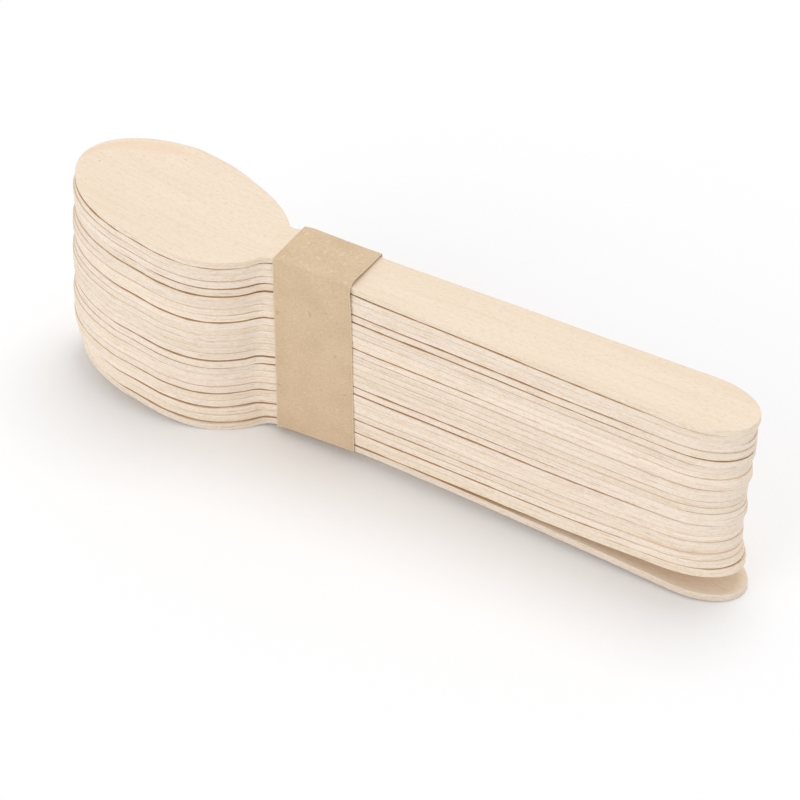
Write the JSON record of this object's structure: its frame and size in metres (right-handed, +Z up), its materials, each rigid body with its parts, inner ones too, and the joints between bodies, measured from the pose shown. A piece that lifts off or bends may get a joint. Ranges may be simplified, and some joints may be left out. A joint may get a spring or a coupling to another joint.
{
  "type": "wooden cutlery pack",
  "caption": "Stack of flat disposable wooden spoons with oval bowls and tapered handles, held at the neck by a glued kraft paper band.",
  "frame": {"origin": "middle of the bundle's outline on the surface it lies on", "axes": "+X along the spoons from the bowls to the handle ends, +Y across the handles, +Z up from the surface through the stack"},
  "size_m": [0.1622, 0.0314, 0.0507],
  "materials": {
    "birch": "matt",
    "kraft": "matt"
  },
  "bodies": {
    "root": {"spoon_01": "birch", "spoon_02": "birch", "spoon_03": "birch", "spoon_04": "birch", "spoon_05": "birch", "spoon_06": "birch", "spoon_07": "birch", "spoon_08": "birch", "spoon_09": "birch", "spoon_10": "birch", "spoon_11": "birch", "spoon_12": "birch", "spoon_13": "birch", "spoon_14": "birch", "spoon_15": "birch", "spoon_16": "birch", "spoon_17": "birch", "spoon_18": "birch", "spoon_19": "birch", "spoon_20": "birch", "spoon_21": "birch", "spoon_22": "birch", "spoon_23": "birch", "spoon_24": "birch", "spoon_25": "birch", "paper_band": "kraft"}
  },
  "joints": []
}
